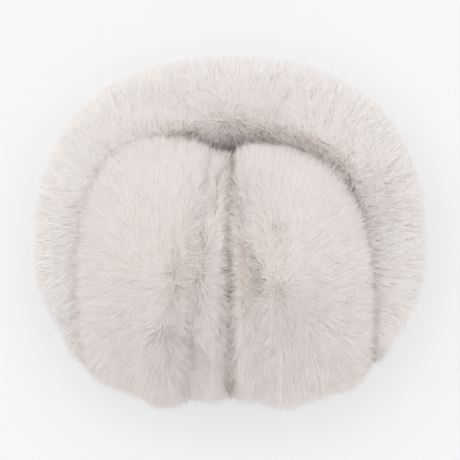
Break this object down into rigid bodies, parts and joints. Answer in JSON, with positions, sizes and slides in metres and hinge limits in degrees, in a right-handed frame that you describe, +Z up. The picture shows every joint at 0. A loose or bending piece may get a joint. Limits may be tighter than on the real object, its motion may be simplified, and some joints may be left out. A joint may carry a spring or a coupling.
{
  "type": "fur earmuffs",
  "caption": "Earmuffs with a thick fur headband bent over fat fur ear cups with soft ear pads, lying on one side with the pads together.",
  "frame": {"origin": "on the table under the middle of the box that the earmuffs fill", "axes": "+X across both ear cups to the right, +Y towards the top of the headband, +Z up from the table"},
  "size_m": [0.1892, 0.1706, 0.1095],
  "materials": {
    "fur": "deep ivory faux fur with whitish tips and a brownish undercoat",
    "pad_fur": "the same ivory faux fur, on the ear side",
    "post_plastic": "plain moulded plastic, out of sight"
  },
  "bodies": {
    "root": {"headband": "fur", "left_cup": "fur", "right_cup": "fur", "left_pad": "pad_fur", "right_pad": "pad_fur", "left_post": "post_plastic", "right_post": "post_plastic"}
  },
  "joints": []
}
